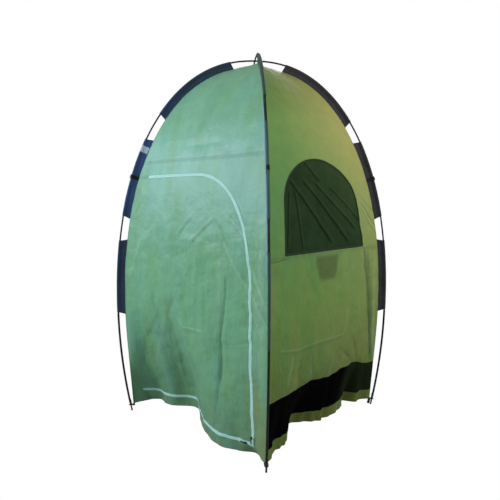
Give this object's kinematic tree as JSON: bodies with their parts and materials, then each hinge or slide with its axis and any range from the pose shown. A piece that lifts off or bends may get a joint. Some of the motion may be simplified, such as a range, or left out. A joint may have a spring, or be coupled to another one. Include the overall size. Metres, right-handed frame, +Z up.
{
  "type": "toilet tent",
  "caption": "Tall square cloth cabin under crossed arched tent poles in sleeves, with a zipped door, a mesh window with an inner curtain, and a low mesh vent.",
  "frame": {"origin": "on the ground, midway between the four pole feet", "axes": "+Z up; the door wall faces -Y and the window wall faces +X"},
  "size_m": [1.1876, 1.1876, 2.1369],
  "materials": {
    "door_cloth": "satin",
    "wall_cloth": "satin",
    "sleeve_cloth": "satin",
    "webbing": "matte",
    "mesh_cloth": "matte",
    "curtain_cloth": "matte",
    "fibreglass": "satin",
    "steel": "satin",
    "brass": "satin",
    "elastic": "matte",
    "zip_tape": "satin",
    "zip_metal": "satin"
  },
  "bodies": {
    "tent": {"side_pole_section_1": "fibreglass", "side_pole_section_2": "fibreglass", "side_pole_section_3": "fibreglass", "side_pole_section_4": "fibreglass", "side_pole_section_5": "fibreglass", "side_pole_section_6": "fibreglass", "side_pole_section_7": "fibreglass", "side_pole_shock_cord": "elastic", "front_pole_section_1": "fibreglass", "front_pole_section_2": "fibreglass", "front_pole_section_3": "fibreglass", "front_pole_section_4": "fibreglass", "front_pole_section_5": "fibreglass", "front_pole_section_6": "fibreglass", "front_pole_section_7": "fibreglass", "front_pole_shock_cord": "elastic", "left_pole_tip": "steel", "left_corner_tab": "webbing", "left_grommet": "brass", "left_sleeve_1": "sleeve_cloth", "left_sleeve_2": "sleeve_cloth", "left_sleeve_3": "sleeve_cloth", "front_pole_tip": "steel", "front_corner_tab": "webbing", "front_grommet": "brass", "front_sleeve_1": "sleeve_cloth", "front_sleeve_2": "sleeve_cloth", "front_sleeve_3": "sleeve_cloth", "right_pole_tip": "steel", "right_corner_tab": "webbing", "right_grommet": "brass", "right_sleeve_1": "sleeve_cloth", "right_sleeve_2": "sleeve_cloth", "right_sleeve_3": "sleeve_cloth", "rear_pole_tip": "steel", "rear_corner_tab": "webbing", "rear_grommet": "brass", "rear_sleeve_1": "sleeve_cloth", "rear_sleeve_2": "sleeve_cloth", "rear_sleeve_3": "sleeve_cloth", "front_roof": "door_cloth", "front_wall": "door_cloth", "left_upper_wall": "door_cloth", "left_lower_wall": "door_cloth", "rear_upper_wall": "wall_cloth", "rear_lower_wall": "wall_cloth", "window_panel": "wall_cloth", "window_pocket": "wall_cloth", "window_lower_wall": "wall_cloth", "window_hem": "wall_cloth", "window_mesh": "mesh_cloth", "vent_mesh": "mesh_cloth", "door_zip_wall_tape": "zip_tape"},
    "door": {"door_panel": "door_cloth", "door_zip_door_tape": "zip_tape"},
    "side_slider": {"side_zip_slider": "zip_metal"},
    "side_pull": {"side_zip_pull": "zip_metal"},
    "bottom_slider": {"bottom_zip_slider": "zip_metal"},
    "bottom_pull": {"bottom_zip_pull": "zip_metal"},
    "curtain": {"window_curtain": "curtain_cloth"}
  },
  "joints": [
    {"name": "door_hinge", "type": "hinge", "parent": "tent", "child": "door", "pos_m": [-0.465, -0.56082, 0.105], "axis": [0, 0, -1], "range_deg": [0, 120]},
    {"name": "curtain_hinge", "type": "hinge", "parent": "tent", "child": "curtain", "pos_m": [0.54289, 0, 1.031], "axis": [0, -1, 0], "range_deg": [0, 140]},
    {"name": "side_zip", "type": "slide", "parent": "door", "child": "side_slider", "axis": [0, -0.0524, 0.9986], "range_m": [0, 0.4]},
    {"name": "bottom_zip", "type": "slide", "parent": "door", "child": "bottom_slider", "axis": [-1, 0, 0], "range_m": [0, 0.235]},
    {"name": "side_zip_pull_hinge", "type": "hinge", "parent": "side_slider", "child": "side_pull", "pos_m": [0.444, -0.54249, 0.14165], "axis": [-1, 0, 0], "range_deg": [0, 150]},
    {"name": "bottom_zip_pull_hinge", "type": "hinge", "parent": "bottom_slider", "child": "bottom_pull", "pos_m": [0.405, -0.54054, 0.10465], "axis": [0, -0.0526, 0.9986], "range_deg": [0, 120]}
  ]
}
